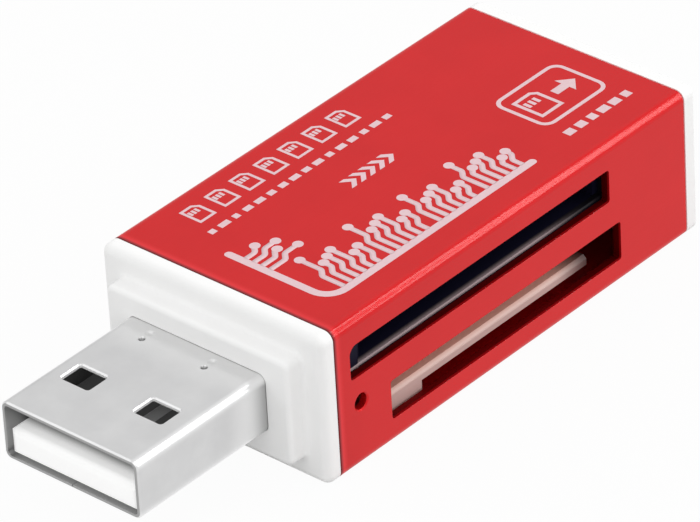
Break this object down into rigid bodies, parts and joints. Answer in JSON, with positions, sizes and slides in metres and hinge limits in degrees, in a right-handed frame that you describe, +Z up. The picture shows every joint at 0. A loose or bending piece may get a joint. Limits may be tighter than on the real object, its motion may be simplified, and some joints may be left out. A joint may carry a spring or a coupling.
{
  "type": "usb memory card reader",
  "caption": "Pocket memory card reader: a red aluminium sleeve with card slots in its sides, white end caps and a steel plug that goes straight into a computer's port.",
  "frame": {"origin": "under the middle of the whole reader, on the surface that it lies on", "axes": "+X along the reader away from the plug's tip, -Y out of the side with the two wide card slots, +Z up"},
  "size_m": [0.0524, 0.0194, 0.0116],
  "materials": {
    "sleeve_red": "red anodised, satin",
    "cap_white": "moulded, fine satin",
    "plug_steel": "nickel plated sheet, satin",
    "tongue_white": "moulded, satin",
    "contact_gold": "gold plated",
    "board_green": "solder mask on glass fibre board",
    "socket_black": "moulded, matte",
    "socket_cream": "moulded, matte",
    "socket_steel": "bare sheet",
    "lamp_clear": "clear resin",
    "chip_black": "moulded resin, matte",
    "tinned_steel": "tin plated",
    "capacitor_tan": "fired body, matte"
  },
  "bodies": {
    "root": {"sleeve": "sleeve_red", "front_cap": "cap_white", "rear_cap": "cap_white", "usb_shell": "plug_steel", "usb_tongue": "tongue_white", "usb_contact_power": "tinned_steel", "usb_contact_data_minus": "tinned_steel", "usb_contact_data_plus": "tinned_steel", "usb_contact_ground": "tinned_steel", "circuit_board": "board_green", "upper_card_housing": "socket_black", "upper_card_cover": "socket_steel", "upper_card_contacts": "contact_gold", "lower_card_housing": "socket_cream", "lower_card_contacts": "contact_gold", "micro_card_housing": "socket_black", "micro_card_cover": "socket_steel", "micro_card_contacts": "contact_gold", "mini_card_housing": "socket_black", "mini_card_cover": "socket_steel", "mini_card_contacts": "contact_gold", "activity_led": "lamp_clear", "controller_chip": "chip_black", "controller_leads": "tinned_steel", "crystal_can": "tinned_steel", "capacitors": "capacitor_tan", "resistors": "chip_black"}
  },
  "joints": []
}
